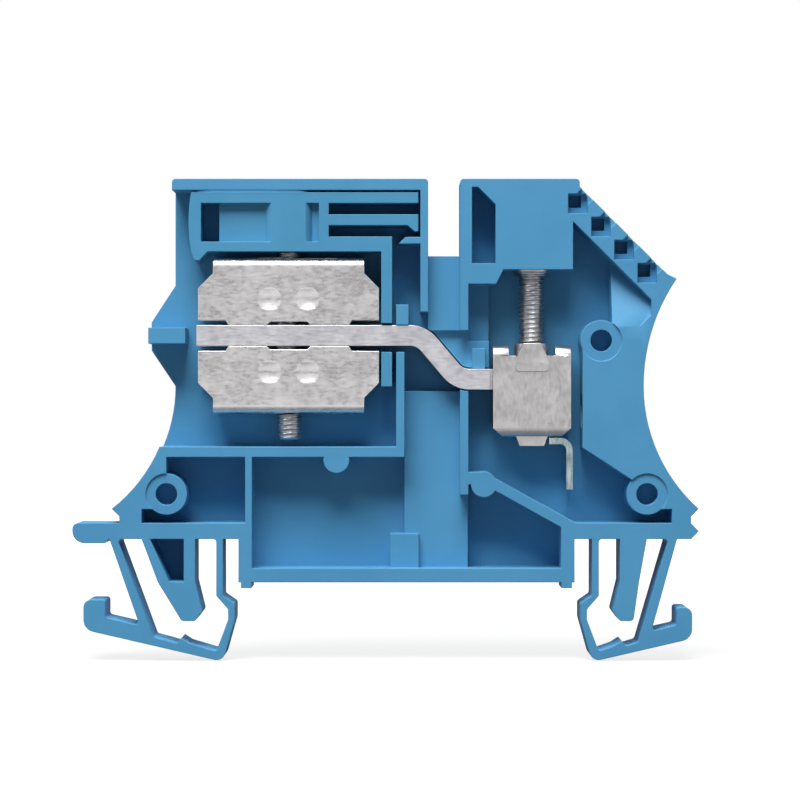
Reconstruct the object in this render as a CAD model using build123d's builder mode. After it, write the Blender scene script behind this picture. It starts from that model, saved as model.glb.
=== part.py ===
from build123d import *
from math import cos, radians, tan
import os

# Neutral terminal block for a 35 mm rail, seen from its open front side.
# Origin: middle of the rail, on the plane where the housing sits on it.
# +X points to the wire entry, +Y to the closed back wall, +Z away from the rail.

# Housing, whole
pitch = 5.1
back_wall = 0.7
body_top = 39.7
top_wall = 1.1
corner_round = 0.35
shoulder_drop = 0.75
marker_face_run = 8.5
marker_tip = 0.9
waist_drop = 4.9
waist_margin = 4.1
toe_z = 7.7
toe_step = 0.75

# Nose that guides the plates towards the busbar
nose_margin = 2.35
nose_reach = 2.35
nose_flat = 2.8
nose_shoulder = 5.0
nose_rib = 1.55
nose_rib_inset = 0.6
nose_rib_gap = 1.1

# Notch between the slide and the clamping screw
notch_margin = 3.1
notch_width = 3.1
notch_depth = 7.45
notch_wall = 0.75
notch_wall_gap = 1.3
web_inset = 1.3
web_gap = 0.5

# Base band with its thumb tab, and the block that stands on the rail
band_top = 6.3
band_thickness = 1.55
tab_reach = 3.8
tab_thickness = 1.95
tab_pad_length = 3.2
tab_round = 0.55
tab_nose = 1.2
block_gap_left = 1.5
block_gap_right = 1.7
block_bottom = 0.55
block_side = 1.3
block_floor = 1.35
nub_width = 1.0
nub_inset = 0.25

# Rail and spring feet
rail_width = 35.0
rail_edge = 1.0
rail_play = 0.4
rail_grip = 0.75
grip_rise = 0.8
grip_length = 1.5
leg_thickness = 0.65
leg_waist = 0.5
heel_drop = 7.15
heel_round = 0.9
toe_round = 0.7
hook_round = 1.2
crease = 0.3
arm_rise = 13.0
arm_thickness = 0.85
hook_thickness = 1.65
barb_height = 0.5
barb_length = 0.8
barb_shift = 0.3
strut_thickness = 1.05
peg_gap = 2.05
peg_lean = 0.7
peg_tip = 1.3
peg_round = 0.4
peg_tip_z = -3.2
peg_toe_z = -2.25
peg_knee_z = 0.6
peg_wall = 1.1
left_foot = dict(side=-1, toe_reach=10.8, hole_from_toe=5.3, strut_shift=0.48, strut_lean=3.2,
                 hook_reach=2.25, hook_width=2.1, hook_top=-1.15, peg_clear=2.05, peg_taper=1.85)
right_foot = dict(side=1, toe_reach=10.35, hole_from_toe=5.0, strut_shift=-1.9, strut_lean=2.7,
                  hook_reach=1.25, hook_width=1.5, hook_top=-1.9, peg_clear=1.95, peg_taper=0.9)

# Ribs and pocket floors
rib = 1.0
post_width = 0.8
post_clear = 0.4
post_gap = 0.6
stub_height = 2.0
shelf_clear = 0.7
wall_width = 0.8
wall_clear = 0.15
bay_drop = 1.4
bay_inset = 3.0
bend_floor_inset = 1.9
column_inset = 2.2
chamber_inset = 3.6
pad_width = 2.8
pad_height = 3.3
pad_inset = 1.5
slant_margin = 1.5
slant_drop = 1.45
slant_angle = 29.0
slant_thickness = 1.05
bump_radius = 1.25
shelf_bump_x = -6.9
shelf_bump_drop = 0.3
lug_width = 2.1
lug_height = 0.65
lug_drop = 5.65
screw_stub_gap = 0.4
screw_stub_width = 1.25
screw_stub_inset = 0.7
block_step = 0.7

# Peg holes in the front face, with pegs on the back for the next block
peg_hole = 2.1
peg_play = 0.1
peg_length = 1.0
peg_lead = 0.2
peg_hole_depth = 2.0
peg_ring = 4.0
peg_ring_inset = 0.15
peg_hole_z = 9.1
upper_hole_reach = 1.8
upper_hole_drop = 0.5
ring_slot = 1.35
ring_slot_reach = 2.4

# Marker sockets along the 45 degree face, the ramp under them, and the side slot
socket_count = 4
socket_first = 1.05
socket_spacing = 3.17
socket_inset = 1.3
socket_size = 1.9
socket_floor = 0.9
socket_hole = 1.2
socket_hole_shift = 0.25
socket_depth = 2.2
socket_notch = 1.5
socket_step = 0.35
marker_band = 2.85
ramp_margin = 0.75
ramp_offset = 1.05
ramp_rise = 1.4
ramp_cut = 1.1
ramp_depth = 2.4
side_slot_wall = 1.15
side_slot_width = 2.3
side_slot_drop = 0.8
side_slot_length = 7.4
side_slot_bevel = 1.7

# Current bar
mech_y = -0.4
bar_thickness = 2.0
bar_width = 3.6
bar_overhang = 0.15
bar_play = 0.15
bend_offset = 2.45
bend_run = 3.6
bar_step = 4.25
bend_radius = 2.4
tongue_width = 2.4
tongue_lead = 0.3
tongue_back = 0.6
bar_chamfer = 0.3

# Fits shared by the metal pieces
screw_diameter = 2.5
screw_play = 0.05
thread_play = 0.03
face_play = 0.03

# Disconnect slide, its plates and screw
disconnect_x = -11.55
slide_travel = 7.5
plate_half = 8.8
plate_top_half = 7.35
plate_rise = 7.6
plate_shoulder = 4.6
plate_steel = 0.5
plate_bend = 0.9
plate_gap = 0.55
busbar = 3.0
pad_inner = 2.1
pad_outer = 5.85
pad_relief = 0.35
pad_slope = 0.3
dimple_offset = 1.85
dimple_rise = 3.55
dimple_radius = 1.2
dimple_depth = 0.3
dimple_taper = 40
slide_inset = 0.1
slide_play = 0.2
slide_back_play = 0.05
slide_overhang = 0.5
slide_bow = 0.25
slide_height = 5.75
slide_reach = 3.9
frame_wall = 0.95
window_inset = 0.7
window_slot = 1.75
boss_radius = 2.65
toe_width = 1.6
toe_drop = 0.85
finger_gap = 1.1
finger_thickness = 1.05
finger_nub = 0.35
finger_nub_drop = 3.8
bottom_bar = 1.45
leg_gap = 0.2
leg_width = 1.05
leg_end = 4.95
leg_web = 0.3
head_diameter = 3.5
head_height = 1.5
head_seat_rise = 1.1
tip_chamfer = 0.25
head_chamfer = 0.45
driver_slot = 0.6
driver_slot_depth = 0.8
disconnect_tip = 10.1

# Clamping yoke and its screw
clamp_offset = 7.0
yoke_length = 7.6
yoke_width = 3.6
yoke_steel = 0.5
yoke_height = 8.9
yoke_lid = 1.0
yoke_rest = 1.25
yoke_bend = 1.0
yoke_collar = 3.4
yoke_corner_run = 1.0
yoke_corner_rise = 0.9
ear_width = 1.55
ear_drop = 0.95
tab_top = 1.7
tab_foot = 3.2
tab_rise = 0.25
tab_shoulder = 1.3
tab_drop = 2.5
tab_lip = 0.25
groove_top = 3.2
groove_foot = 2.4
groove_drop = 0.85
screw_block_drop = 8.8
screw_block_before = 2.8
screw_block_after = 3.95
block_overhang = 4.6
bore_play = 0.1
bore_height = 2.4
driver_bore = 3.2
clamp_head = 3.6
clamp_head_drop = 0.6
clamp_head_height = 2.7

# Wire entry, and the guard strip under the yoke
bay_gap = 0.35
entry_gap = 1.1
entry_step = 0.9
entry_slant_run = 1.5
entry_slant_rise = 1.4
wire_bore = 3.4
wire_mouth = 3.9
wire_lead = 0.4
wire_mouth_depth = 2.0
guard_steel = 0.65
guard_width = 2.4
guard_stand = 0.2
guard_flange = 2.0
guard_bend = 0.9
guard_drop = 5.1

# Depths: the front, the back, and the floor of the deep pockets
front_y = -pitch / 2
back_y = pitch / 2
floor_y = back_y - back_wall
full_depth = pitch - back_wall

# Heights worked out downward from the body's top
chamber_top = body_top - top_wall
marker_face_z = body_top - shoulder_drop
notch_bottom = body_top - notch_depth
lug_top = body_top - lug_drop
screw_block_bottom = body_top - screw_block_drop
bay_top = screw_block_bottom - bay_drop
slide_top = chamber_top - slide_play
slide_bottom = slide_top - slide_height
head_seat = slide_bottom + head_seat_rise
plate_top = slide_bottom - plate_gap
bar_z = plate_top - plate_rise
bar_top = bar_z + bar_thickness / 2
bar_bottom = bar_z - bar_thickness / 2
post_top = bar_bottom - post_gap
waist_z = bar_z - waist_drop
upper_hole_z = bar_z - upper_hole_drop
clamp_bar_z = bar_z - bar_step
clamp_bar_top = clamp_bar_z + bar_thickness / 2
yoke_top = clamp_bar_top + yoke_rest + yoke_lid
yoke_bottom = yoke_top - yoke_height
wire_z = (clamp_bar_z - bar_thickness / 2 + yoke_bottom + yoke_steel) / 2
guard_end = yoke_bottom - guard_drop
shelf_top = bar_z - disconnect_tip - shelf_clear
shelf_bottom = shelf_top - rib
slant_top = shelf_bottom - slant_drop
entry_bottom = shelf_bottom + entry_step
band_bottom = band_top - band_thickness
band_middle = band_top - band_thickness / 2
floor_top = block_bottom + block_floor

# The rail's grips, the toes over the feet and the block between them
leg_inner = rail_width / 2 + rail_play
leg_outer = leg_inner + leg_thickness
grip_x = rail_width / 2 - rail_grip
grip_z = -rail_edge - face_play + grip_rise * rail_play / (leg_inner - grip_x)
toe_left = -leg_inner - left_foot["toe_reach"]
toe_right = leg_inner + right_foot["toe_reach"]
block_left = block_gap_left - leg_inner
block_right = leg_inner - block_gap_right
peg_root = leg_outer + peg_gap
upward = (Align.CENTER, Align.CENTER, Align.MIN)

# Places along the rail's width, from the slide's screw to the wire entry
bar_left = disconnect_x - plate_half - bar_overhang
body_left = bar_left - nose_margin
nose_x = body_left - nose_reach
slide_left = bar_left - slide_overhang
slide_right = disconnect_x + slide_reach
leg_left = disconnect_x + plate_half + leg_gap
leg_right = leg_left + leg_width
post_left = leg_right + post_clear
post_right = post_left + post_width
notch_left = post_left + notch_margin
notch_right = notch_left + notch_width
chamber_right = notch_left - notch_wall
bend_top_x = post_left + bend_offset
bend_foot_x = bend_top_x + bend_run
wall_left = bend_foot_x + wall_clear
wall_right = wall_left + wall_width
slant_start = wall_right + slant_margin
clamp_x = wall_left + clamp_offset
yoke_left = clamp_x - yoke_length / 2
yoke_right = clamp_x + yoke_length / 2
bay_left = yoke_left - bay_gap
entry_left = yoke_right + entry_gap
upper_hole_x = entry_left + upper_hole_reach
waist_right = upper_hole_x + waist_margin
ramp_left = upper_hole_x + ramp_offset
ramp_right = waist_right + ramp_margin
ramp_bottom = upper_hole_z + ramp_rise
screw_block_left = clamp_x - screw_block_before
screw_block_right = clamp_x + screw_block_after
top_right = clamp_x + block_overhang
left_hole_x = toe_left + left_foot["hole_from_toe"]
right_hole_x = toe_right - right_foot["hole_from_toe"]


def facing(y):
    """Plane that faces the viewer at the depth y, with the housing's X and Z."""
    return Plane.XZ.offset(-y)


def panel(left, right, bottom, top, mode=Mode.ADD):
    """Rectangle between two X and two Z values in the present sketch."""
    with Locations(((left + right) / 2, (bottom + top) / 2)):
        Rectangle(right - left, top - bottom, mode=mode)


def shape(*points, mode=Mode.ADD):
    """Polygon through X and Z points in the present sketch."""
    Polygon(*points, align=None, mode=mode)


def slant(x):
    """Height of the slanted rib's top edge at x."""
    return slant_top - (x - slant_start) * tan(radians(slant_angle))


def underside(x):
    """Height of a foot's underside, x outward from the rail's middle."""
    return -heel_drop + (x - leg_inner) * tan(radians(arm_rise))


def outward(foot, points):
    """Points given outward from the rail's middle, turned to the foot's side."""
    return [(foot["side"] * x, z) for x, z in points]


def bar_path():
    """Middle line of the current bar with its S-bend, as X and Z points."""
    return [(bar_left, bar_z), (bend_top_x, bar_z), (bend_foot_x, clamp_bar_z),
            (yoke_right - tongue_back, clamp_bar_z)]


# The housing is one moulding with a closed back wall
with BuildPart() as housing:
    # Outline of the body, with nose, notch, marker face and both waists
    with BuildSketch(facing(back_y)) as body_face:
        marker_end = (top_right + marker_face_run, marker_face_z - marker_face_run)
        marker_point = (marker_end[0] + marker_tip, marker_end[1] - marker_tip / 2)
        with BuildLine():
            Polyline(
                (body_left, waist_z),
                (nose_x, bar_z - nose_flat / 2),
                (nose_x, bar_z + nose_flat / 2),
                (body_left, bar_z + nose_shoulder),
                (body_left, body_top),
                (notch_left, body_top),
                (notch_left, notch_bottom),
                (notch_right, notch_bottom),
                (notch_right, body_top),
                (top_right, body_top),
                (top_right, marker_face_z),
                marker_end,
                marker_point,
            )
            TangentArc((waist_right, waist_z), marker_point, tangent=(0, 1))
            TangentArc((waist_right, waist_z), (toe_right, toe_z), tangent=(0, -1))
            Polyline(
                (toe_right, toe_z),
                (toe_right - toe_step, toe_z - toe_step),
                (toe_right - toe_step, band_middle),
                (toe_left + toe_step, band_middle),
                (toe_left + toe_step, toe_z - toe_step),
                (toe_left, toe_z),
            )
            TangentArc((body_left, waist_z), (toe_left, toe_z), tangent=(0, -1))
        make_face()
        fillet(body_face.vertices().group_by(Axis.Y)[-1], corner_round)
        # Base band with a pointed right end, and the block that stands on the rail
        shape(
            (toe_left, band_bottom),
            (toe_left, band_top),
            (toe_right - toe_step, band_top),
            (toe_right, band_middle),
            (toe_right - toe_step, band_bottom),
        )
        panel(block_left, block_right, block_bottom, band_middle)
        panel(block_left + nub_inset, block_left + nub_inset + nub_width, 0, band_middle)
        panel(block_right - nub_inset - nub_width, block_right - nub_inset, 0, band_middle)
    extrude(amount=pitch)

    # Thumb tab that releases the left foot
    with BuildSketch(facing(back_y)):
        tab_bottom = band_top - tab_thickness
        tab_end = toe_left - tab_reach
        with BuildLine():
            FilletPolyline(
                (toe_left + toe_step, band_top),
                (tab_end, band_top),
                (tab_end, tab_bottom),
                (tab_end + tab_pad_length, tab_bottom),
                (tab_end + tab_pad_length + corner_round, band_bottom),
                (toe_left + toe_step, band_bottom),
                radius=(0, tab_round, tab_nose, corner_round, 0, 0),
                close=True,
            )
        make_face()
    extrude(amount=pitch)

    # Spring feet: inner leg with the grip under the rail's lip, arm, hook and strut
    for foot in (left_foot, right_foot):
        strut_top = leg_inner + foot["toe_reach"] + foot["strut_shift"]
        strut_foot = strut_top - foot["strut_lean"]
        hook_end = strut_top + foot["hook_reach"]
        throat = hook_end - foot["hook_width"]
        strut_slope = foot["strut_lean"] / (band_bottom - underside(throat))
        strut_inner = strut_foot - strut_thickness - strut_slope * arm_thickness
        barb = (leg_outer + strut_foot) / 2 - barb_shift
        peg_back = strut_top - strut_thickness - foot["peg_clear"]
        with BuildSketch(facing(back_y)):
            with BuildLine():
                FilletPolyline(
                    outward(foot, [
                        (leg_inner, band_middle),
                        (leg_inner, grip_z),
                        (grip_x, grip_z - grip_rise),
                        (grip_x, grip_z - grip_rise - grip_length),
                        (leg_inner, underside(leg_inner)),
                        (hook_end, underside(hook_end)),
                        (hook_end, foot["hook_top"]),
                        (throat, foot["hook_top"]),
                        (throat, underside(throat) + hook_thickness),
                        (strut_foot, underside(strut_foot) + hook_thickness),
                        (strut_top, band_middle),
                    ]),
                    radius=(0, crease, crease, toe_round, heel_round, hook_round, toe_round,
                            crease, crease, crease, 0),
                    close=True,
                )
            make_face()
            with BuildLine():
                FilletPolyline(
                    outward(foot, [
                        (leg_outer, band_bottom),
                        (leg_outer, grip_z),
                        (grip_x + leg_thickness, grip_z - grip_rise - leg_waist),
                        (grip_x + leg_thickness, grip_z - grip_rise - grip_length),
                        (leg_outer, underside(leg_outer) + arm_thickness),
                        (barb - barb_length, underside(barb) + arm_thickness),
                        (barb, underside(barb) + arm_thickness + barb_height),
                        (barb + barb_length / 2, underside(barb) + arm_thickness),
                        (strut_inner, underside(strut_inner) + arm_thickness),
                        (strut_top - strut_thickness, band_bottom),
                    ]),
                    radius=(crease, crease, crease, crease, crease, 0, 0, 0, crease, crease),
                    close=True,
                )
            make_face(mode=Mode.SUBTRACT)
            with BuildLine():
                FilletPolyline(
                    outward(foot, [
                        (peg_root, band_middle),
                        (peg_root, peg_knee_z),
                        (peg_root - peg_lean, peg_toe_z),
                        (peg_root, peg_tip_z),
                        (peg_root + peg_tip, peg_tip_z),
                        (peg_back - foot["peg_taper"], peg_knee_z),
                        (peg_back, band_middle),
                    ]),
                    radius=(0, crease, peg_round, peg_round, peg_round, crease, 0),
                    close=True,
                )
            make_face()
        extrude(amount=pitch)

    # Deep pockets behind the open front: slide chamber and the bar's channel
    with BuildSketch(facing(front_y)):
        panel(nose_x - slide_travel, post_left, shelf_top, chamber_top)
        panel(post_left - rib, chamber_right, post_top, chamber_top)
        panel(chamber_right - rib, notch_left, post_top, bar_top + notch_wall_gap)
        shape(
            (post_right, post_top),
            (bend_top_x, post_top),
            (wall_left, clamp_bar_z),
            (wall_left, clamp_bar_top - bar_thickness - bar_play),
            (post_right, clamp_bar_top - bar_thickness - bar_play),
        )
        with BuildLine() as channel_line:
            FilletPolyline(*bar_path(), radius=bend_radius)
        trace(channel_line.line, bar_thickness + 2 * bar_play)
    extrude(amount=-full_depth, mode=Mode.SUBTRACT)

    # Deep pockets round the yoke, beside both lower peg holes and under the slanted rib
    slant_depth = slant_thickness / cos(radians(slant_angle))
    slant_foot = slant_start + (slant_top - band_top) / tan(radians(slant_angle))
    marker_inner = top_right + marker_face_z - marker_band * 2 ** 0.5
    block_inner = block_right - block_side
    slot_bevel = side_slot_width - side_slot_bevel
    side_slot_left = notch_right + side_slot_wall
    side_slot_top = body_top - side_slot_drop
    with BuildSketch(facing(front_y)):
        shape(
            (bay_left, bay_top),
            (screw_block_left - block_step, bay_top),
            (screw_block_left, screw_block_bottom),
            (screw_block_right, screw_block_bottom),
            (screw_block_right, marker_inner - screw_block_right),
            (ramp_right, marker_inner - ramp_right),
            (ramp_right, ramp_bottom + ramp_cut),
            (ramp_right - ramp_cut, ramp_bottom),
            (ramp_left, ramp_bottom),
            (upper_hole_x, upper_hole_z),
            (entry_left, upper_hole_z),
            (entry_left, entry_bottom),
            (right_hole_x - entry_slant_run, peg_hole_z + entry_slant_rise),
            (right_hole_x, peg_hole_z),
            (right_hole_x, band_top + ring_slot),
            (right_hole_x + ring_slot_reach, band_top + ring_slot),
            (right_hole_x + ring_slot_reach, band_top),
            (slant_foot, band_top),
            (slant_start, slant_top),
            (wall_right, slant_top),
            (wall_right, clamp_bar_z),
            (bay_left, clamp_bar_z),
        )
        shape(
            (left_hole_x, shelf_bottom),
            (left_hole_x, band_top + ring_slot),
            (left_hole_x - ring_slot_reach, band_top + ring_slot),
            (left_hole_x - ring_slot_reach, band_top),
            (block_left + block_side / 2, band_top),
            (block_left + block_side / 2, shelf_bottom),
        )
        with Locations(
            (left_hole_x, peg_hole_z), (right_hole_x, peg_hole_z), (upper_hole_x, upper_hole_z)
        ):
            Circle(peg_ring / 2, mode=Mode.SUBTRACT)
        shape(
            (wall_right, slant_top - slant_depth),
            (slant_start, slant_top - slant_depth),
            (block_inner, slant(block_inner) - slant_depth),
            (block_inner, floor_top),
            (wall_right, floor_top),
        )
        shape(
            (side_slot_left, side_slot_top),
            (side_slot_left + slot_bevel, side_slot_top),
            (side_slot_left + side_slot_width, side_slot_top - side_slot_bevel),
            (side_slot_left + side_slot_width, side_slot_top - side_slot_length),
            (side_slot_left, side_slot_top - side_slot_length),
        )
    extrude(amount=-full_depth, mode=Mode.SUBTRACT)

    # Shallower floors: notch web, bend floor, side bay, column and lower chamber
    floors = [
        (web_inset, notch_left, notch_right, bar_z + web_gap, notch_bottom),
        (bend_floor_inset, notch_left, bay_left, clamp_bar_top, bar_z + web_gap),
        (bay_inset, wall_right, bay_left, bar_z - web_gap, bay_top),
        (column_inset, post_right, wall_left, floor_top, clamp_bar_z),
        (column_inset, wall_left - rib, wall_right, floor_top, slant_top - slant_depth - rib),
        (chamber_inset, block_left + block_side, post_right, floor_top, shelf_bottom),
    ]
    for inset, left, right, bottom, top in floors:
        with BuildSketch(facing(front_y)):
            panel(left, right, bottom, top)
        extrude(amount=-inset, mode=Mode.SUBTRACT)

    # What stands in the pockets: stubs over the bar, lug for the slide, bumps, gate pad
    stands = [
        (0, post_left, post_right + rail_play, bar_top + face_play, bar_top + stub_height),
        (screw_stub_inset, wall_right + screw_stub_gap,
         wall_right + screw_stub_gap + screw_stub_width,
         clamp_bar_top + face_play, clamp_bar_top + stub_height),
        (pad_inset, post_right - pad_width / 2, post_right + pad_width / 2,
         floor_top, floor_top + pad_height),
        (nose_rib_inset, nose_x, bar_left - nose_rib_gap, bar_z - nose_rib / 2,
         bar_z + nose_rib / 2),
    ]
    for inset, left, right, bottom, top in stands:
        with BuildSketch(facing(back_y)):
            panel(left, right, bottom, top)
        extrude(amount=pitch - inset)
    with BuildSketch(facing(back_y)):
        with Locations(
            (shelf_bump_x, shelf_bottom - shelf_bump_drop), (slant_start, slant_top - slant_depth)
        ):
            Circle(bump_radius)
    extrude(amount=pitch)

    with BuildSketch(facing(back_y)):
        shape(
            (chamber_right, lug_top),
            (chamber_right, lug_top - lug_height),
            (chamber_right - lug_width, lug_top - lug_height),
            (chamber_right - lug_width + lug_height, lug_top),
        )
    extrude(amount=pitch)

    # Ramp in the pocket under the marker band, flush with the front at its foot
    with BuildSketch(Plane.YZ.offset(ramp_left)):
        shape(
            (front_y, ramp_bottom),
            (front_y + ramp_depth, marker_inner - ramp_left),
            (floor_y, marker_inner - ramp_left),
            (floor_y, ramp_bottom),
        )
    extrude(amount=ramp_right - ramp_left)

    # Marker sockets: a square hole in a stepped recess, notched out to the marker face
    slope = 0.5 ** 0.5
    socket_places = [
        (
            top_right + slope * (socket_first + i * socket_spacing - socket_inset),
            marker_face_z - slope * (socket_first + i * socket_spacing + socket_inset),
        )
        for i in range(socket_count)
    ]
    with BuildSketch(facing(front_y)):
        for x, z in socket_places:
            with Locations((x + slope * socket_inset, z + slope * socket_inset)):
                Rectangle(socket_notch, 2 * socket_inset, rotation=-45)
    extrude(amount=-socket_step, mode=Mode.SUBTRACT)
    with BuildSketch(facing(front_y)):
        with Locations(*socket_places):
            Rectangle(socket_size, socket_size)
    extrude(amount=-socket_floor, mode=Mode.SUBTRACT)
    with BuildSketch(facing(front_y)):
        with Locations(*[(x - socket_hole_shift, z + socket_hole_shift) for x, z in socket_places]):
            Rectangle(socket_hole, socket_hole)
    extrude(amount=-socket_depth, mode=Mode.SUBTRACT)

    # Peg holes in their sunk rings, with the pegs for the next block on the back
    hole_places = [
        (left_hole_x, peg_hole_z),
        (right_hole_x, peg_hole_z),
        (upper_hole_x, upper_hole_z),
    ]
    with BuildSketch(facing(front_y)):
        with Locations(*hole_places):
            Circle(peg_ring / 2)
    extrude(amount=-peg_ring_inset, mode=Mode.SUBTRACT)
    with BuildSketch(facing(front_y)):
        with Locations(*hole_places):
            Circle(peg_hole / 2)
    extrude(amount=-peg_hole_depth, mode=Mode.SUBTRACT)
    with BuildSketch(facing(back_y)):
        with Locations(*hole_places):
            Circle(peg_hole / 2 - peg_play)
    extrude(amount=-peg_length)
    chamfer(housing.faces().sort_by(Axis.Y)[-3:].edges(), peg_lead)

    # Blind pocket in the left foot's wider peg
    left_peg_back = -toe_left + left_foot["strut_shift"] - strut_thickness - left_foot["peg_clear"]
    with BuildSketch(facing(front_y)):
        shape(*outward(left_foot, [
            (peg_root + peg_wall, band_bottom),
            (peg_root + peg_wall, peg_knee_z),
            (left_peg_back - left_foot["peg_taper"] - peg_wall, peg_knee_z),
            (left_peg_back - peg_wall, band_bottom),
        ]))
    extrude(amount=-full_depth, mode=Mode.SUBTRACT)

    # Screw bore with its shoulder, and the driver's way in from the top
    with Locations((clamp_x, mech_y, screw_block_bottom)):
        Cylinder(clamp_head / 2 + bore_play, bore_height, align=upward, mode=Mode.SUBTRACT)
        Cylinder(driver_bore / 2, body_top - screw_block_bottom, align=upward,
                 mode=Mode.SUBTRACT)

    # Slot in the top wall, so that the driver reaches the slide's screw at both ends
    with BuildSketch(Plane.XY.offset(body_top)):
        with Locations((disconnect_x - slide_travel / 2, mech_y)):
            SlotOverall(slide_travel + driver_bore, driver_bore)
    extrude(amount=-top_wall, mode=Mode.SUBTRACT)

    # Wire entry: round bore with a funnel mouth at the waist
    with Locations(Plane(origin=(entry_left, mech_y, wire_z), z_dir=(1, 0, 0))):
        Cylinder(wire_bore / 2, toe_right - entry_left, align=upward, mode=Mode.SUBTRACT)
    mouth_start = waist_right - wire_mouth_depth
    with Locations(Plane(origin=(mouth_start, mech_y, wire_z), z_dir=(1, 0, 0))):
        Cone(wire_bore / 2, wire_mouth / 2, wire_mouth_depth + wire_lead, align=upward,
             mode=Mode.SUBTRACT)


# Flat current bar: a fork at the left, an S-bend, and a tongue inside the yoke
with BuildPart() as current_bar:
    with BuildSketch(facing(mech_y + bar_width / 2)):
        with BuildLine() as bar_line:
            FilletPolyline(*bar_path(), radius=bend_radius)
        trace(bar_line.line, bar_thickness)
    extrude(amount=bar_width)
    side = (bar_width - tongue_width) / 2
    with BuildSketch(Plane.XY.offset(clamp_bar_z)):
        for edge in (-1, 1):
            with Locations((yoke_left - tongue_lead, mech_y + edge * (bar_width - side) / 2)):
                Rectangle(yoke_length + tongue_lead, side, align=(Align.MIN, Align.CENTER))
    extrude(amount=bar_thickness, both=True, mode=Mode.SUBTRACT)
    with BuildSketch(Plane.XY.offset(bar_z)):
        with Locations((disconnect_x, mech_y)):
            Circle(screw_diameter / 2 + screw_play)
            Rectangle(plate_half * 2, screw_diameter + 2 * screw_play,
                      align=(Align.MAX, Align.CENTER))
    extrude(amount=bar_thickness, both=True, mode=Mode.SUBTRACT)
    chamfer(current_bar.faces().sort_by(Axis.X)[-1].edges(), bar_chamfer)


# Blank of both contact plates: a channel whose flanges carry two pads on the bar
with BuildPart() as plate_blank:
    right_side = [
        (pad_inner - pad_slope, bar_thickness / 2 + pad_relief),
        (pad_inner, bar_thickness / 2 + face_play),
        (pad_outer, bar_thickness / 2 + face_play),
        (pad_outer + pad_slope, busbar / 2),
        (plate_half, busbar / 2),
        (plate_half, plate_shoulder),
        (plate_top_half, plate_shoulder + plate_half - plate_top_half),
        (plate_top_half, plate_rise),
    ]
    with BuildSketch(facing(mech_y + bar_width / 2)):
        shape(
            *[(disconnect_x + x, bar_z + z) for x, z in right_side],
            *[(disconnect_x - x, bar_z + z) for x, z in reversed(right_side)],
        )
    extrude(amount=bar_width)
    fillet(plate_blank.edges().filter_by(Axis.X).group_by(Axis.Z)[-1], plate_bend)
    inner_top = bar_z + plate_rise - plate_steel
    with BuildSketch(Plane.YZ.offset(disconnect_x)) as hollow:
        panel(mech_y - bar_width / 2 + plate_steel, mech_y + bar_width / 2 - plate_steel,
              bar_z, inner_top)
        fillet(hollow.vertices().group_by(Axis.Y)[-1], plate_bend - plate_steel)
    extrude(amount=plate_half, both=True, mode=Mode.SUBTRACT)
    dimples = [(disconnect_x + edge * dimple_offset, bar_z + dimple_rise) for edge in (-1, 1)]
    with BuildSketch(facing(mech_y - bar_width / 2 + plate_steel)):
        with Locations(*dimples):
            Circle(dimple_radius)
    extrude(amount=-dimple_depth, taper=dimple_taper)
    bowl = (dimple_radius ** 2 + dimple_depth ** 2) / (2 * dimple_depth)
    bowl_y = mech_y - bar_width / 2 + dimple_depth - bowl
    with Locations(*[(x, bowl_y, z) for x, z in dimples]):
        Sphere(bowl, mode=Mode.SUBTRACT)

with BuildPart() as upper_contact_plate:
    add(plate_blank.part)
    with Locations((disconnect_x, mech_y, bar_z)):
        Cylinder(screw_diameter / 2 + screw_play, 2 * plate_rise, mode=Mode.SUBTRACT)

# The lower plate is the same stamping turned over, and threaded for the screw
with BuildPart() as lower_contact_plate:
    add(mirror(plate_blank.part, about=Plane.XY.offset(bar_z)))
    with Locations((disconnect_x, mech_y, bar_z)):
        Cylinder(screw_diameter / 2 + thread_play, 2 * plate_rise, mode=Mode.SUBTRACT)


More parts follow.
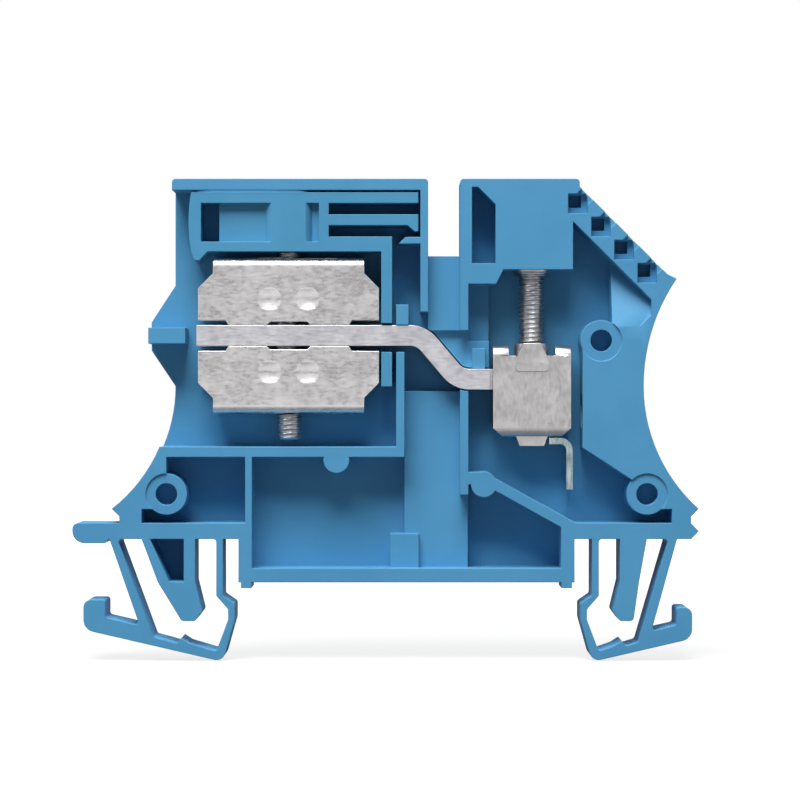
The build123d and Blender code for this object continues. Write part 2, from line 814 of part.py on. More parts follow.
# Disconnect slide: frame with window and screw boss, spring fingers, leg over the bar
with BuildPart() as disconnect_slide:
    slide_back = floor_y - slide_back_play
    slide_depth = slide_back - front_y - slide_inset
    finger_end = chamber_right - slide_play
    finger_top = slide_top - finger_thickness - finger_gap
    nub_bottom = slide_top - finger_nub_drop
    with BuildSketch(facing(slide_back)):
        with BuildLine():
            ThreePointArc(
                (slide_left, slide_bottom),
                (slide_left - slide_bow, (slide_bottom + slide_top) / 2),
                (slide_left, slide_top),
            )
            Polyline(
                (slide_left, slide_top),
                (finger_end, slide_top),
                (finger_end, slide_top - finger_thickness),
                (slide_right, slide_top - finger_thickness),
                (slide_right, slide_bottom),
                (slide_left, slide_bottom),
            )
        make_face()
        panel(slide_right, finger_end, finger_top - finger_thickness, finger_top)
        panel(slide_right, leg_right, slide_bottom, slide_bottom + bottom_bar)
        panel(leg_left, leg_right, bar_top + leg_gap, slide_bottom)
        panel(leg_left, leg_right, bar_z - leg_end, post_top)
        shape(
            (finger_end, finger_top),
            (finger_end, nub_bottom),
            (finger_end - finger_nub, nub_bottom),
            (finger_end - 3 * finger_nub, finger_top - finger_thickness),
        )
        shape(
            (slide_left, slide_bottom),
            (slide_left + toe_width, slide_bottom),
            (slide_left + toe_width / 2, slide_bottom - toe_drop),
            (slide_left + toe_width / 5, slide_bottom - toe_drop),
        )
    extrude(amount=slide_depth)
    with BuildSketch(facing(slide_back)):
        panel(leg_left, leg_right, bar_z - leg_end, slide_bottom)
    extrude(amount=leg_web)
    # Window with its deep strip, then the boss that stands in it
    window_left = slide_left + frame_wall
    window_top = slide_top - finger_thickness
    with BuildSketch(facing(slide_back - slide_depth)):
        panel(window_left, slide_right - frame_wall, slide_bottom + frame_wall, window_top)
    extrude(amount=-window_inset, mode=Mode.SUBTRACT)
    with BuildSketch(facing(slide_back - slide_depth)):
        panel(window_left, window_left + window_slot, slide_bottom + frame_wall, window_top)
    extrude(amount=leg_web - slide_depth, mode=Mode.SUBTRACT)
    with BuildSketch(Plane.XY.offset(slide_bottom)):
        with Locations((disconnect_x, mech_y)):
            Circle(boss_radius)
        with Locations((disconnect_x, slide_back - slide_depth / 2)):
            Rectangle(2 * boss_radius, slide_depth, mode=Mode.INTERSECT)
    extrude(amount=slide_height)
    with Locations((disconnect_x, mech_y, slide_bottom)):
        Cylinder(screw_diameter / 2 + screw_play, slide_height, align=upward,
                 mode=Mode.SUBTRACT)
    with Locations((disconnect_x, mech_y, head_seat)):
        Cylinder(head_diameter / 2 + screw_play, slide_height, align=upward,
                 mode=Mode.SUBTRACT)


# Disconnect screw: slotted cheese head, shank through both plates
with BuildPart() as disconnect_screw:
    with Locations((disconnect_x, mech_y, head_seat + face_play)):
        Cylinder(head_diameter / 2, head_height, align=upward)
    with Locations((disconnect_x, mech_y, bar_z - disconnect_tip)):
        Cylinder(screw_diameter / 2, head_seat - bar_z + disconnect_tip + head_height / 2,
                 align=upward)
    chamfer(disconnect_screw.faces().sort_by(Axis.Z)[0].edges(), tip_chamfer)
    with Locations((disconnect_x, mech_y, head_seat + face_play + head_height)):
        Box(head_diameter, driver_slot, 2 * driver_slot_depth, mode=Mode.SUBTRACT)


# Clamping yoke: one steel strip folded round the bar, locked by a tab at its front
with BuildPart() as clamping_yoke:
    with BuildSketch(Plane.YZ.offset(clamp_x)):
        with Locations((mech_y, yoke_top - yoke_height / 2)):
            RectangleRounded(yoke_width, yoke_height, yoke_bend)
        inner_height = yoke_height - yoke_steel - yoke_lid
        with Locations((mech_y, yoke_bottom + yoke_steel + inner_height / 2)):
            RectangleRounded(yoke_width - 2 * yoke_steel, inner_height, yoke_bend - yoke_steel,
                             mode=Mode.SUBTRACT)
    extrude(amount=yoke_length / 2, both=True)
    with BuildSketch(facing(mech_y)):
        for end, inward in ((yoke_left, 1), (yoke_right, -1)):
            shape(
                (end, yoke_bottom + yoke_corner_rise),
                (end + inward * yoke_corner_run, yoke_bottom),
                (end, yoke_bottom),
            )
        panel(yoke_left + ear_width, yoke_right - ear_width, yoke_top - ear_drop, yoke_top)
    extrude(amount=yoke_width, both=True, mode=Mode.SUBTRACT)
    # Threaded collar, and the locking tab that hooks over the front wall
    with Locations((clamp_x, mech_y, clamp_bar_top + yoke_rest / 2)):
        Cylinder(yoke_collar / 2, yoke_top + tab_rise - clamp_bar_top - yoke_rest / 2,
                 align=upward)
    with BuildSketch(facing(mech_y - yoke_width / 2 + yoke_steel)):
        shape(
            (clamp_x - tab_top / 2, yoke_top + tab_rise),
            (clamp_x + tab_top / 2, yoke_top + tab_rise),
            (clamp_x + tab_foot / 2, yoke_top - tab_shoulder),
            (clamp_x + tab_foot / 2, yoke_top - tab_drop + tab_lip),
            (clamp_x + tab_foot / 2 - tab_lip, yoke_top - tab_drop),
            (clamp_x - tab_foot / 2 + tab_lip, yoke_top - tab_drop),
            (clamp_x - tab_foot / 2, yoke_top - tab_drop + tab_lip),
            (clamp_x - tab_foot / 2, yoke_top - tab_shoulder),
        )
    extrude(amount=yoke_steel + tab_lip)
    with Locations((clamp_x, mech_y, yoke_top)):
        Cylinder(screw_diameter / 2 + thread_play, 4 * yoke_lid, mode=Mode.SUBTRACT)
    # Pressed groove in the bottom that bites the wire
    with BuildSketch(facing(mech_y)):
        shape(
            (clamp_x - groove_top / 2, yoke_bottom + yoke_steel / 2),
            (clamp_x + groove_top / 2, yoke_bottom + yoke_steel / 2),
            (clamp_x + groove_foot / 2, yoke_bottom - groove_drop),
            (clamp_x - groove_foot / 2, yoke_bottom - groove_drop),
        )
    extrude(amount=yoke_width / 2 - yoke_steel, both=True)


# Clamping screw: captive head in the bore, tip on the bar
with BuildPart() as clamping_screw:
    head_foot = screw_block_bottom - clamp_head_drop
    with Locations((clamp_x, mech_y, head_foot)):
        Cylinder(clamp_head / 2, clamp_head_height, align=upward)
    chamfer(clamping_screw.faces().sort_by(Axis.Z)[0].edges(), head_chamfer)
    with Locations((clamp_x, mech_y, clamp_bar_top + face_play)):
        Cylinder(screw_diameter / 2, head_foot + clamp_head_height / 2 - clamp_bar_top,
                 align=upward)
    chamfer(clamping_screw.faces().sort_by(Axis.Z)[0].edges(), tip_chamfer)
    with Locations((clamp_x, mech_y, head_foot + clamp_head_height)):
        Box(clamp_head, driver_slot, 2 * driver_slot_depth, mode=Mode.SUBTRACT)


# Guard strip: thin steel under the yoke, bent down in front of the wire entry
with BuildPart() as wire_guard_strip:
    strip_z = yoke_bottom - face_play - guard_steel / 2
    strip_x = yoke_right + guard_stand - guard_steel / 2
    with BuildSketch(facing(mech_y + guard_width / 2)):
        with BuildLine() as strip_line:
            FilletPolyline(
                (strip_x - guard_flange, strip_z),
                (strip_x, strip_z),
                (strip_x, guard_end),
                radius=guard_bend,
            )
        trace(strip_line.line, guard_steel)
    extrude(amount=guard_width)


housing.part.label = "housing"
disconnect_slide.part.label = "disconnect_slide"
upper_contact_plate.part.label = "upper_contact_plate"
lower_contact_plate.part.label = "lower_contact_plate"
disconnect_screw.part.label = "disconnect_screw"
current_bar.part.label = "current_bar"
clamping_yoke.part.label = "clamping_yoke"
clamping_screw.part.label = "clamping_screw"
wire_guard_strip.part.label = "wire_guard_strip"

os.makedirs("parts", exist_ok=True)
export_step(housing.part, "parts/housing.step")
export_step(disconnect_slide.part, "parts/disconnect_slide.step")
export_step(upper_contact_plate.part, "parts/upper_contact_plate.step")
export_step(lower_contact_plate.part, "parts/lower_contact_plate.step")
export_step(disconnect_screw.part, "parts/disconnect_screw.step")
export_step(current_bar.part, "parts/current_bar.step")
export_step(clamping_yoke.part, "parts/clamping_yoke.step")
export_step(clamping_screw.part, "parts/clamping_screw.step")
export_step(wire_guard_strip.part, "parts/wire_guard_strip.step")
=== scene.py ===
import math

import bmesh
import bpy
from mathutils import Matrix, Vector


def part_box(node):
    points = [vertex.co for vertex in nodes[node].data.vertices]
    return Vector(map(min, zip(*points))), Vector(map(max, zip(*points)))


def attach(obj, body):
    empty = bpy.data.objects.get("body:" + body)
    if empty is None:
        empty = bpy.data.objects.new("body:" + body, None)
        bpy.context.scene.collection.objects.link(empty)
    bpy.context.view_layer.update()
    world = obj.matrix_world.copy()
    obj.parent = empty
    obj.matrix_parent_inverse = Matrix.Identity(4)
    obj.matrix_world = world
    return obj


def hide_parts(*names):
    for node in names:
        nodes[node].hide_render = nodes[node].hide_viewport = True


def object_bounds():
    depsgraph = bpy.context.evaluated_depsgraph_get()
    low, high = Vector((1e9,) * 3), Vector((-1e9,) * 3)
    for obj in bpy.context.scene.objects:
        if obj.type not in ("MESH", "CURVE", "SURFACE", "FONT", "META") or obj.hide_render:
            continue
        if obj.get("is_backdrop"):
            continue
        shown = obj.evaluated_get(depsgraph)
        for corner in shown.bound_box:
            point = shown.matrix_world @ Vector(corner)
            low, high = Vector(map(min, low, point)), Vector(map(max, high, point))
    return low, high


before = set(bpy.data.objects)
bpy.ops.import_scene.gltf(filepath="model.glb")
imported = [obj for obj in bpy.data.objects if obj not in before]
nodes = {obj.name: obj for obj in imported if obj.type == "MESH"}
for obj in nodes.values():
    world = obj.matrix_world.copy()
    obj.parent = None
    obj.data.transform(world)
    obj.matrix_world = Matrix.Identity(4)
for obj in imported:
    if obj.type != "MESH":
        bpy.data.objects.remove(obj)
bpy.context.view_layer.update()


# ---------------------------------------------------------------------------
# Housing: one thin-walled moulding in blue polyamide, closed at the back and
# open at the front. It comes from a polished mould with fine spark-eroded grain,
# and every edge keeps the small radius that lets it out of the mould.

SHARP = math.radians(32.0)      # an edge that turns by more than this is a sharp one
MERGE = 2e-6                    # points that are closer than this are one point


def placed(name, data):
    """New object in the scene's collection."""
    thing = bpy.data.objects.new(name, data)
    bpy.context.scene.collection.objects.link(thing)
    return thing


def round_edges(piece, width, segments):
    """Give the sharp edges of a piece a small bevel."""
    rounding = piece.modifiers.new("rounding", "BEVEL")
    rounding.width = width
    rounding.segments = segments
    rounding.limit_method = "ANGLE"
    rounding.angle_limit = SHARP
    rounding.use_clamp_overlap = False


def plain_mesh(piece):
    """Turn a piece with modifiers into a plain mesh, smooth on its curves."""
    for face in piece.data.polygons:
        face.use_smooth = True
    bpy.context.view_layer.update()
    evaluated = piece.evaluated_get(bpy.context.evaluated_depsgraph_get())
    mesh = bpy.data.meshes.new_from_object(evaluated)
    piece.modifiers.clear()
    piece.data = mesh
    return piece


def softened(node, name, edge=0.0):
    """Copy of a CAD solid, merged and smooth on its curves. Its sharp edges are rounded
    by edge, and stay sharp where that is 0."""
    mesh = nodes[node].data.copy()
    mesh.name = name
    form = bmesh.new()
    form.from_mesh(mesh)
    bmesh.ops.remove_doubles(form, verts=form.verts, dist=MERGE)
    if edge:
        bmesh.ops.dissolve_limit(form, angle_limit=math.radians(0.3), verts=form.verts,
                                 edges=form.edges)
    else:
        for line in form.edges:
            line.smooth = line.is_manifold and line.calc_face_angle() < SHARP
    form.to_mesh(mesh)
    form.free()
    piece = placed(name, mesh)
    if edge:
        round_edges(piece, width=edge, segments=2)
    even = piece.modifiers.new("even_shading", "WEIGHTED_NORMAL")
    even.weight = 100
    even.keep_sharp = True
    return plain_mesh(piece)


def finished(piece, material, body, slot, *stands_for):
    """Give a piece its material and its body, and hide the CAD nodes that it stands for. The
    slot is not used.
    """
    piece.data.materials.clear()
    piece.data.materials.append(material)
    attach(piece, body)
    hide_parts(*stands_for)


def node_at(tree, kind, x, y, values=None, **settings):
    """Add a node at a place in its tree, with its own properties and its input values."""
    node = tree.nodes.new(kind)
    node.location = (x, y)
    for key, value in settings.items():
        setattr(node, key, value)
    for label, value in (values or {}).items():
        node.inputs[label].default_value = value
    return node


def worked(tree, operation, *terms):
    """Output of a Math node to the right of its terms, which are sockets or numbers."""
    last = max((term.node for term in terms if not isinstance(term, float)),
               key=lambda node: node.location.x)
    step = node_at(tree, "ShaderNodeMath", last.location.x + 180.0, last.location.y,
                   operation=operation)
    for socket, term in zip(step.inputs, terms):
        if isinstance(term, float):
            socket.default_value = term
        else:
            tree.links.new(term, socket)
    return step.outputs["Value"]


def ramp(tree, x, y, start, end, lowest=0.0, highest=1.0):
    """Node that goes softly from lowest to highest while its value goes from start to end."""
    return node_at(tree, "ShaderNodeMapRange", x, y,
                   {"From Min": start, "From Max": end, "To Min": lowest, "To Max": highest},
                   interpolation_type="SMOOTHSTEP")


def join(tree, *pairs):
    """Link each pair of sockets, from the first to the second."""
    for source, target in pairs:
        tree.links.new(source, target)


def effect(name, inputs, outputs):
    """New shader node group with named inputs and outputs."""
    group = bpy.data.node_groups.new(name, "ShaderNodeTree")
    for label, kind, value in inputs:
        socket = group.interface.new_socket(label, in_out="INPUT", socket_type=kind)
        socket.default_value = value
    for label, kind in outputs:
        group.interface.new_socket(label, in_out="OUTPUT", socket_type=kind)
    return (group, node_at(group, "NodeGroupInput", -900, 0),
            node_at(group, "NodeGroupOutput", 700, 0))


def surfaced(name, group, values, strength, depth):
    """New material whose colour, roughness and relief come from an effect's node group."""
    material = bpy.data.materials.new(name)
    material.use_nodes = True
    tree = material.node_tree
    shader = tree.nodes["Principled BSDF"]
    skin = node_at(tree, "ShaderNodeGroup", -600, 200, values, node_tree=group)
    relief = node_at(tree, "ShaderNodeBump", -300, -200,
                     {"Strength": strength, "Distance": depth})
    join(tree,
         (skin.outputs["Colour"], shader.inputs["Base Color"]),
         (skin.outputs["Roughness"], shader.inputs["Roughness"]),
         (skin.outputs["Height"], relief.inputs["Height"]),
         (relief.outputs["Normal"], shader.inputs["Normal"]))
    return material, shader, relief


# Fine grain of a spark-eroded mould, with faint flow clouds in the colour
grain, grain_in, grain_out = effect(
    "mould_grain",
    [("Colour", "NodeSocketColor", (0.1, 0.3, 0.5, 1.0)),
     ("Cloud Colour", "NodeSocketColor", (0.1, 0.3, 0.5, 1.0)),
     ("Cloud Scale", "NodeSocketFloat", 140.0),
     ("Grain Scale", "NodeSocketFloat", 9000.0),
     ("Roughness", "NodeSocketFloat", 0.45),
     ("Roughness Spread", "NodeSocketFloat", 0.12)],
    [("Colour", "NodeSocketColor"), ("Roughness", "NodeSocketFloat"),
     ("Height", "NodeSocketFloat")],
)
place = node_at(grain, "ShaderNodeTexCoord", -900, 300)
clouds = node_at(grain, "ShaderNodeTexNoise", -600, 300, {"Detail": 4.0, "Roughness": 0.6})
pores = node_at(grain, "ShaderNodeTexNoise", -600, -100, {"Detail": 2.0})
cloudy = ramp(grain, -350, 300, 0.35, 0.65)
tint = node_at(grain, "ShaderNodeMix", 0, 300, data_type="RGBA")
uneven = worked(grain, "SUBTRACT", clouds.outputs["Fac"], 0.5)
gloss = worked(grain, "MULTIPLY_ADD", uneven, grain_in.outputs["Roughness Spread"],
               grain_in.outputs["Roughness"])
join(grain,
     (place.outputs["Object"], clouds.inputs["Vector"]),
     (place.outputs["Object"], pores.inputs["Vector"]),
     (grain_in.outputs["Cloud Scale"], clouds.inputs["Scale"]),
     (grain_in.outputs["Grain Scale"], pores.inputs["Scale"]),
     (clouds.outputs["Fac"], cloudy.inputs["Value"]),
     (cloudy.outputs["Result"], tint.inputs["Factor"]),
     (grain_in.outputs["Colour"], tint.inputs["A"]),
     (grain_in.outputs["Cloud Colour"], tint.inputs["B"]),
     (tint.outputs["Result"], grain_out.inputs["Colour"]),
     (gloss, grain_out.inputs["Roughness"]),
     (pores.outputs["Fac"], grain_out.inputs["Height"]))


def polyamide(name, colour, cloud_colour, roughness, grain_depth, edge_radius):
    """Blue moulded polyamide with its grain, flow clouds, satin gloss and soft edges."""
    material, shader, relief = surfaced(
        name, grain,
        {"Colour": colour, "Cloud Colour": cloud_colour, "Roughness": roughness},
        strength=0.35, depth=grain_depth)
    shader.inputs["IOR"].default_value = 1.53
    shader.inputs["Specular IOR Level"].default_value = 0.2
    tree = material.node_tree
    edges = node_at(tree, "ShaderNodeBevel", -600, -300, {"Radius": edge_radius}, samples=8)
    join(tree, (edges.outputs["Normal"], relief.inputs["Normal"]))
    return material


housing_blue = polyamide("housing_polyamide", (0.080, 0.305, 0.54, 1.0),
                         (0.088, 0.325, 0.565, 1.0), roughness=0.46, grain_depth=8e-6,
                         edge_radius=0.00012)
housing = softened("housing", "housing_moulding")
finished(housing, housing_blue, "terminal_body", "blue_polyamide", "housing")


# ---------------------------------------------------------------------------
# Disconnect slide: a second blue polyamide moulding that runs in the housing's
# upper left chamber. Its two sprung fingers and its leg hold it where it is pushed.

slide_blue = polyamide("slide_polyamide", (0.076, 0.295, 0.505, 1.0),
                       (0.084, 0.315, 0.53, 1.0), roughness=0.42, grain_depth=6e-6,
                       edge_radius=0.0001)
slide = softened("disconnect_slide", "slide_moulding")
finished(slide, slide_blue, "slide", "blue_polyamide", "disconnect_slide")


# ---------------------------------------------------------------------------
# Contact plates: two channels stamped from tin-plated strip, with pressed dimples
# and pads that bear on the bar. The press leaves fine drawn lines in the tin.

drawn, drawn_in, drawn_out = effect(
    "drawn_metal",
    [("Colour", "NodeSocketColor", (0.6, 0.6, 0.6, 1.0)),
     ("Dull Colour", "NodeSocketColor", (0.4, 0.4, 0.42, 1.0)),
     ("Stretch", "NodeSocketVector", (300.0, 4000.0, 4000.0)),
     ("Blotch Scale", "NodeSocketFloat", 700.0),
     ("Roughness", "NodeSocketFloat", 0.3),
     ("Roughness Spread", "NodeSocketFloat", 0.2)],
    [("Colour", "NodeSocketColor"), ("Roughness", "NodeSocketFloat"),
     ("Height", "NodeSocketFloat")],
)
place = node_at(drawn, "ShaderNodeTexCoord", -1100, 300)
stretch = node_at(drawn, "ShaderNodeVectorMath", -900, 100, operation="MULTIPLY")
lines = node_at(drawn, "ShaderNodeTexNoise", -600, 100, {"Scale": 1.0, "Detail": 3.0})
blotch = node_at(drawn, "ShaderNodeTexNoise", -600, 400, {"Detail": 5.0, "Roughness": 0.65})
relief = worked(drawn, "MULTIPLY",
                worked(drawn, "ADD", lines.outputs["Fac"], blotch.outputs["Fac"]), 0.5)
bright = node_at(drawn, "ShaderNodeMapRange", 0, 250, {"From Min": 0.38, "From Max": 0.62})
tint = node_at(drawn, "ShaderNodeMix", 250, 300, data_type="RGBA")
gloss = worked(drawn, "MULTIPLY_ADD", bright.outputs["Result"],
               drawn_in.outputs["Roughness Spread"], drawn_in.outputs["Roughness"])
join(drawn,
     (place.outputs["Object"], stretch.inputs[0]),
     (drawn_in.outputs["Stretch"], stretch.inputs[1]),
     (stretch.outputs["Vector"], lines.inputs["Vector"]),
     (place.outputs["Object"], blotch.inputs["Vector"]),
     (drawn_in.outputs["Blotch Scale"], blotch.inputs["Scale"]),
     (relief, bright.inputs["Value"]),
     (bright.outputs["Result"], tint.inputs["Factor"]),
     (drawn_in.outputs["Dull Colour"], tint.inputs["A"]),
     (drawn_in.outputs["Colour"], tint.inputs["B"]),
     (tint.outputs["Result"], drawn_out.inputs["Colour"]),
     (gloss, drawn_out.inputs["Roughness"]),
     (relief, drawn_out.inputs["Height"]))


def plated(name, colour, dull_colour, stretch_by, roughness, spread, line_depth):
    """Tin or zinc plated metal with drawn lines and cloudy patches."""
    material, shader, _ = surfaced(
        name, drawn,
        {"Colour": colour, "Dull Colour": dull_colour, "Stretch": stretch_by,
         "Roughness": roughness, "Roughness Spread": spread},
        strength=0.4, depth=line_depth)
    shader.inputs["Metallic"].default_value = 1.0
    return material


plate_tin = plated("plate_tin", (0.73, 0.715, 0.72, 1.0), (0.60, 0.585, 0.59, 1.0),
                   stretch_by=(1400.0, 4000.0, 4000.0), roughness=0.24, spread=0.12,
                   line_depth=1e-5)
upper_plate = softened("upper_contact_plate", "upper_plate", edge=0.00006)
finished(upper_plate, plate_tin, "slide", "tinned_plate", "upper_contact_plate")
lower_plate = softened("lower_contact_plate", "lower_plate", edge=0.00006)
finished(lower_plate, plate_tin, "lower_plate", "tinned_plate", "lower_contact_plate")


# ---------------------------------------------------------------------------
# Current bar: flat copper bar with an S-bend, tin plated after bending. It lies
# in the housing's channel from the nose to the clamping yoke.

bar_tin = plated("bar_tin", (0.63, 0.62, 0.65, 1.0), (0.50, 0.50, 0.54, 1.0),
                 stretch_by=(900.0, 5000.0, 5000.0), roughness=0.32, spread=0.15,
                 line_depth=1e-5)
bar = softened("current_bar", "bent_bar", edge=0.00004)
finished(bar, bar_tin, "terminal_body", "tinned_bar", "current_bar")


# ---------------------------------------------------------------------------
# Clamping yoke: a steel strip folded into a cage round the bar's end, plated, with
# its locking tab in front. The clamping screw pulls it up against the bar.

yoke_tin = plated("yoke_tin", (0.54, 0.53, 0.53, 1.0), (0.47, 0.46, 0.46, 1.0),
                  stretch_by=(4000.0, 4000.0, 1400.0), roughness=0.30, spread=0.16,
                  line_depth=1e-5)
yoke = softened("clamping_yoke", "folded_yoke", edge=0.00005)
low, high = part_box("clamping_yoke")

# The tab's front slopes back over its lowest 0.9 mm, which catches the light as a lip
LIP_SLOPE = 0.13
tab_foot = high.z - 0.00275
lip_top = tab_foot + 0.0009
near_front, on_front = low.y + 0.0002, low.y + 0.0001
below_foot = tab_foot - 0.0003
form = bmesh.new()
form.from_mesh(yoke.data)
front = []
for face in form.faces:
    middle = face.calc_center_median()
    if middle.y < near_front and middle.z > tab_foot:
        front.append(face)
points = list(dict.fromkeys(point for face in front for point in face.verts))
lines_round = list(dict.fromkeys(line for face in front for line in face.edges))
bmesh.ops.bisect_plane(form, geom=front + points + lines_round,
                       plane_co=Vector((0.0, 0.0, lip_top)), plane_no=Vector((0.0, 0.0, 1.0)))
for point in form.verts:
    if point.co.y < on_front and below_foot < point.co.z < lip_top:
        point.co.y += (lip_top - point.co.z) * LIP_SLOPE
form.to_mesh(yoke.data)
form.free()
finished(yoke, yoke_tin, "yoke", "tinned_plate", "clamping_yoke")


# ---------------------------------------------------------------------------
# Guard strip: thin sprung steel under the yoke, bent down in front of the wire
# entry, so that no strand gets past the cage.

guard_tin = plated("guard_tin", (0.50, 0.60, 0.63, 1.0), (0.26, 0.34, 0.37, 1.0),
                   stretch_by=(5000.0, 5000.0, 500.0), roughness=0.24, spread=0.12,
                   line_depth=8e-6)
guard = softened("wire_guard_strip", "guard_strip", edge=0.00005)
finished(guard, guard_tin, "yoke", "tinned_plate", "wire_guard_strip")


# ---------------------------------------------------------------------------
# Screws: turned and thread-rolled steel, clear zinc plated, with slotted heads.
# Each thread is one helical ridge with rounded crests, rolled onto the shank.

screw_zinc = plated("screw_zinc", (0.44, 0.44, 0.45, 1.0), (0.30, 0.30, 0.32, 1.0),
                    stretch_by=(3000.0, 3000.0, 6000.0), roughness=0.30, spread=0.15,
                    line_depth=6e-6)


def thread_tree():
    """Geometry Nodes tree: a closed shank along Z with one rolled helical ridge."""
    tree = bpy.data.node_groups.new("rolled_thread", "GeometryNodeTree")
    ask = tree.interface.new_socket
    ask("Geometry", in_out="OUTPUT", socket_type="NodeSocketGeometry")
    for label, value in (("Radius", 0.00125), ("Pitch", 0.00045), ("Depth", 0.00024),
                         ("Length", 0.01), ("Tip", 0.00025)):
        ask(label, in_out="INPUT", socket_type="NodeSocketFloat").default_value = value
    ask("Around", in_out="INPUT", socket_type="NodeSocketInt").default_value = 28
    ask("Material", in_out="INPUT", socket_type="NodeSocketMaterial")
    given = node_at(tree, "NodeGroupInput", -1400, 0)
    radius, pitch, depth, length, tip = (
        given.outputs[label] for label in ("Radius", "Pitch", "Depth", "Length", "Tip"))

    # The plain shank, with eight rows of points to each turn of the thread
    rows = worked(tree, "MULTIPLY", worked(tree, "DIVIDE", length, pitch), 8.0)
    shank = node_at(tree, "GeometryNodeMeshCylinder", -900, 200, fill_type="TRIANGLE_FAN")
    join(tree,
         (given.outputs["Around"], shank.inputs["Vertices"]),
         (rows, shank.inputs["Side Segments"]),
         (radius, shank.inputs["Radius"]),
         (length, shank.inputs["Depth"]))

    # The groove's depth at each point, from how far it is along the thread's turn
    where = node_at(tree, "GeometryNodeInputPosition", -900, -200)
    axes = node_at(tree, "ShaderNodeSeparateXYZ", -700, -200)
    join(tree, (where.outputs["Position"], axes.inputs["Vector"]))
    x, y, z = (axes.outputs[label] for label in "XYZ")
    turn = worked(tree, "DIVIDE", worked(tree, "ARCTAN2", y, x), 2.0 * math.pi)
    along = worked(tree, "FRACT",
                   worked(tree, "SUBTRACT", worked(tree, "DIVIDE", z, pitch), turn))
    wave = worked(tree, "ABSOLUTE",
                  worked(tree, "SUBTRACT", worked(tree, "MULTIPLY", along, 2.0), 1.0))
    groove = worked(tree, "MULTIPLY", worked(tree, "SMOOTH_MIN", wave, 0.85, 0.25), depth)

    # The tip's chamfer takes over where it is deeper than the groove
    from_tip = worked(tree, "ADD", z, worked(tree, "MULTIPLY", length, 0.5))
    taper = worked(tree, "MAXIMUM", worked(tree, "SUBTRACT", tip, from_tip), 0.0)
    reduced = worked(tree, "MAXIMUM", groove, taper)
    share = worked(tree, "SUBTRACT", 1.0, worked(tree, "DIVIDE", reduced, radius))

    rounded = node_at(tree, "ShaderNodeCombineXYZ", 300, -200)
    rolled = node_at(tree, "GeometryNodeSetPosition", 600, 0)
    real = node_at(tree, "GeometryNodeRealizeInstances", 800, 0)
    plated_with = node_at(tree, "GeometryNodeSetMaterial", 1000, 0)
    result = node_at(tree, "NodeGroupOutput", 1400, 0)
    join(tree,
         (worked(tree, "MULTIPLY", x, share), rounded.inputs["X"]),
         (worked(tree, "MULTIPLY", y, share), rounded.inputs["Y"]),
         (z, rounded.inputs["Z"]),
         (shank.outputs["Mesh"], rolled.inputs["Geometry"]),
         (rounded.outputs["Vector"], rolled.inputs["Position"]),
         (rolled.outputs["Geometry"], real.inputs["Geometry"]),
         (real.outputs["Geometry"], plated_with.inputs["Geometry"]),
         (given.outputs["Material"], plated_with.inputs["Material"]),
         (plated_with.outputs["Geometry"], result.inputs["Geometry"]))
    return tree


rolled_thread = thread_tree()


def screw(node, name, box, head_height, neck_depth):
    """Screw with the CAD node's slotted head, its foot drawn out to a rim, on a rolled
    shank. The head's height and the shank's upper end are measured down from the top."""
    shank_reach = 0.0012        # points of the head's foot that lie further out are its rim
    rim_radius = 0.00172
    low, high = box
    centre = Vector(((low.x + high.x) / 2, (low.y + high.y) / 2, 0.0))
    head_foot, neck, tip = high.z - head_height, high.z - neck_depth, low.z

    head = nodes[node].data.copy()
    form = bmesh.new()
    form.from_mesh(head)
    bmesh.ops.remove_doubles(form, verts=form.verts, dist=MERGE)
    cut = bmesh.ops.bisect_plane(form, geom=form.verts[:] + form.edges[:] + form.faces[:],
                                 plane_co=Vector((0.0, 0.0, head_foot)),
                                 plane_no=Vector((0.0, 0.0, 1.0)), clear_inner=True)
    rim = [part for part in cut["geom_cut"] if isinstance(part, bmesh.types.BMEdge)]
    bmesh.ops.holes_fill(form, edges=rim)
    bmesh.ops.dissolve_limit(form, angle_limit=math.radians(0.6), verts=form.verts,
                             edges=form.edges)
    for point in form.verts:
        out_by = Vector((point.co.x - centre.x, point.co.y - centre.y, 0.0))
        if point.co.z < head_foot + 1e-5 and out_by.length > shank_reach:
            point.co += out_by.normalized() * (rim_radius - out_by.length)
    form.to_mesh(head)
    form.free()
    piece = placed(name, head)
    round_edges(piece, width=0.00008, segments=3)
    plain_mesh(piece)

    shank = placed(name + "_shank", bpy.data.meshes.new(name + "_shank"))
    rolling = shank.modifiers.new("rolling", "NODES")
    rolling.node_group = rolled_thread
    sockets = {item.name: item.identifier for item in rolled_thread.interface.items_tree
               if item.in_out == "INPUT"}
    rolling[sockets["Length"]] = neck - tip
    rolling[sockets["Material"]] = screw_zinc
    plain_mesh(shank)
    for point in shank.data.vertices:
        point.co += Vector((centre.x, centre.y, (neck + tip) / 2.0))

    joined = bmesh.new()
    joined.from_mesh(piece.data)
    joined.from_mesh(shank.data)
    joined.to_mesh(piece.data)
    joined.free()
    bpy.data.objects.remove(shank)
    return piece


clamp = screw("clamping_screw", "clamp_screw_turned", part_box("clamping_screw"),
              head_height=0.00269, neck_depth=0.002)
finished(clamp, screw_zinc, "clamp_screw", "zinc_steel", "clamping_screw")

disconnect = screw("disconnect_screw", "slide_screw_turned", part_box("disconnect_screw"),
                   head_height=0.00149, neck_depth=0.001)
finished(disconnect, screw_zinc, "slide_screw", "zinc_steel", "disconnect_screw")


# ---------------------------------------------------------------------------
# Studio: a pale floor under the feet, one large soft light above the front, weaker
# ones at the sides and behind, and a camera that looks straight at the open side.

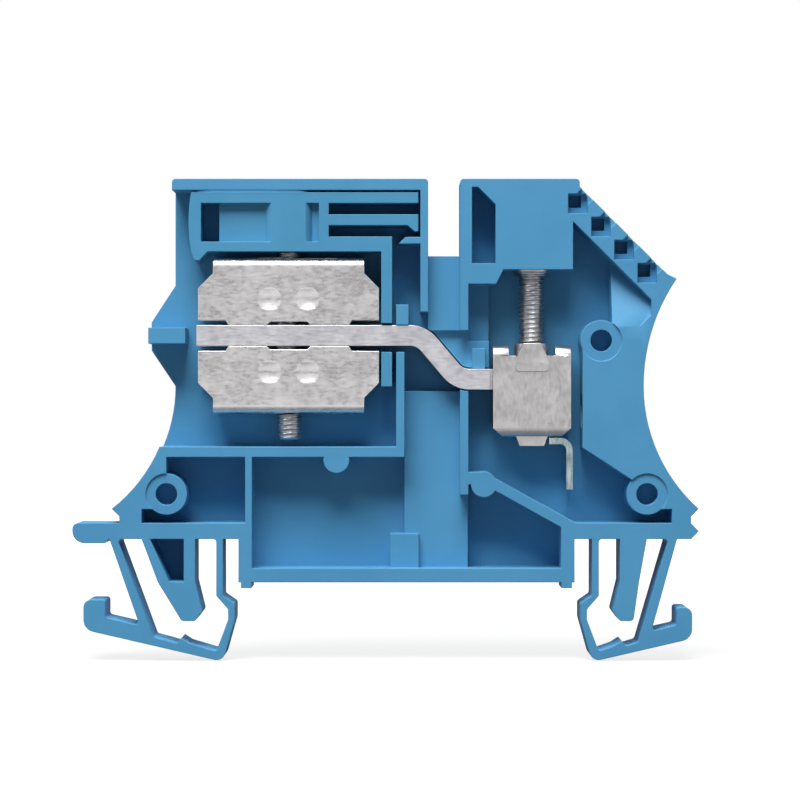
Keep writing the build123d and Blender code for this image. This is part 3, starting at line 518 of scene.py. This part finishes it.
low, _ = (Vector(corner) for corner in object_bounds())
reach, floor_height = 0.6, low.z - 0.0001
floor_mesh = bpy.data.meshes.new("floor")
floor_mesh.from_pydata([(x, y, floor_height) for x, y in (
    (-reach, -reach), (reach, -reach), (reach, reach), (-reach, reach))], [], [(0, 1, 2, 3)])
floor = placed("floor", floor_mesh)
pale_floor = bpy.data.materials.new("pale_floor")
pale_floor.use_nodes = True
ground = pale_floor.node_tree
floor_shader = ground.nodes["Principled BSDF"]
floor_shader.inputs["Base Color"].default_value = (0.14, 0.14, 0.14, 1.0)
floor_shader.inputs["Roughness"].default_value = 0.9
floor_shader.inputs["Emission Color"].default_value = (1.0, 1.0, 1.0, 1.0)

# The camera sees the floor as white, with the shadow kept close to the object. Glossy rays
# see a painted reflection in the floor's glow: painted shade close to the object, and dimmer
# behind it.
ray = node_at(ground, "ShaderNodeLightPath", -700, 200)
spot = node_at(ground, "ShaderNodeTexCoord", -900, -100)
away = node_at(ground, "ShaderNodeVectorMath", -700, -100, operation="LENGTH")
side = node_at(ground, "ShaderNodeSeparateXYZ", -700, -300)
to_camera = ramp(ground, -450, 0, 0.04, 0.22, 0.80, 1.0)
# Painted reflection for the metal: painted shade close to the object and again behind it
painted_reflection_near = ramp(ground, -450, -150, 0.015, 0.075, 0.06, 0.80)
painted_reflection_behind = ramp(ground, -450, -300, 0.0, 0.06, 1.0, 0.12)
join(ground,
     (spot.outputs["Object"], away.inputs[0]),
     (spot.outputs["Object"], side.inputs["Vector"]),
     (away.outputs["Value"], to_camera.inputs["Value"]),
     (away.outputs["Value"], painted_reflection_near.inputs["Value"]),
     (side.outputs["Y"], painted_reflection_behind.inputs["Value"]))
seen = worked(ground, "MULTIPLY", to_camera.outputs["Result"], ray.outputs["Is Camera Ray"])
mirrored = worked(ground, "MULTIPLY", painted_reflection_near.outputs["Result"],
                  worked(ground, "MULTIPLY", painted_reflection_behind.outputs["Result"],
                         ray.outputs["Is Glossy Ray"]))
glow = worked(ground, "ADD", seen, mirrored)
join(ground, (glow, floor_shader.inputs["Emission Strength"]))
floor_mesh.materials.append(pale_floor)
floor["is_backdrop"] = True

# The world is white to the camera and through glass, and white in the metal where it
# stands above and in front. It adds next to no light of its own.
world = bpy.data.worlds.new("studio")
bpy.context.scene.world = world
world.use_nodes = True
sky = world.node_tree
sky.nodes.clear()
towards = node_at(sky, "ShaderNodeTexCoord", -1400, -100)
split = node_at(sky, "ShaderNodeSeparateXYZ", -1200, -100)
above = ramp(sky, -1000, -200, 0.0, 0.16)
in_front = ramp(sky, -1000, 100, 0.70, 0.15)
ray = node_at(sky, "ShaderNodeLightPath", -800, 300)
strength = node_at(sky, "ShaderNodeMapRange", 0, 200, {"To Min": 0.012, "To Max": 1.0})
white = node_at(sky, "ShaderNodeBackground", 200, 200, {"Color": (1.0, 1.0, 1.0, 1.0)})
out = node_at(sky, "ShaderNodeOutputWorld", 400, 200)
level = worked(sky, "MULTIPLY_ADD",
               worked(sky, "MULTIPLY", above.outputs["Result"], in_front.outputs["Result"]),
               0.88, 0.12)
mirrored = worked(sky, "MULTIPLY", level, ray.outputs["Is Glossy Ray"])
seen = worked(sky, "MAXIMUM",
              worked(sky, "MAXIMUM", mirrored, ray.outputs["Is Camera Ray"]),
              ray.outputs["Is Transmission Ray"])
join(sky,
     (towards.outputs["Generated"], split.inputs["Vector"]),
     (split.outputs["Z"], above.inputs["Value"]),
     (split.outputs["Y"], in_front.inputs["Value"]),
     (seen, strength.inputs["Value"]),
     (strength.outputs["Result"], white.inputs["Strength"]),
     (white.outputs["Background"], out.inputs["Surface"]))

MIDDLE = Vector((0.0, 0.0, 0.018))      # about half way up the object


def softbox(name, spot, size, power):
    """Square area light at a spot, aimed at the object's middle."""
    light = bpy.data.lights.new(name, "AREA")
    light.size = size
    light.energy = power
    lamp = placed(name, light)
    lamp.location = spot
    lamp.rotation_euler = (MIDDLE - Vector(spot)).to_track_quat("-Z", "Y").to_euler()
    return lamp


softbox("overhead", (-0.085, -0.255, 0.53), size=0.36, power=6.1)
softbox("left_side", (-0.26, -0.07, 0.06), size=0.12, power=0.05)
softbox("right_side", (0.26, -0.07, 0.05), size=0.12, power=0.06)
behind = softbox("behind", (0.06, 0.45, 0.22), size=0.18, power=1.4)
behind.visible_glossy = False

camera_data = bpy.data.cameras.new("camera")
camera_data.sensor_width = 36.0
camera_data.lens = 125.3
camera_data.clip_start = 0.001
camera = placed("camera", camera_data)
camera.location = (-0.00073, -0.27255, 0.01824)
camera.rotation_euler = (math.pi / 2.0, 0.0, 0.0)
bpy.context.scene.camera = camera

bpy.context.scene.view_settings.view_transform = "Standard"
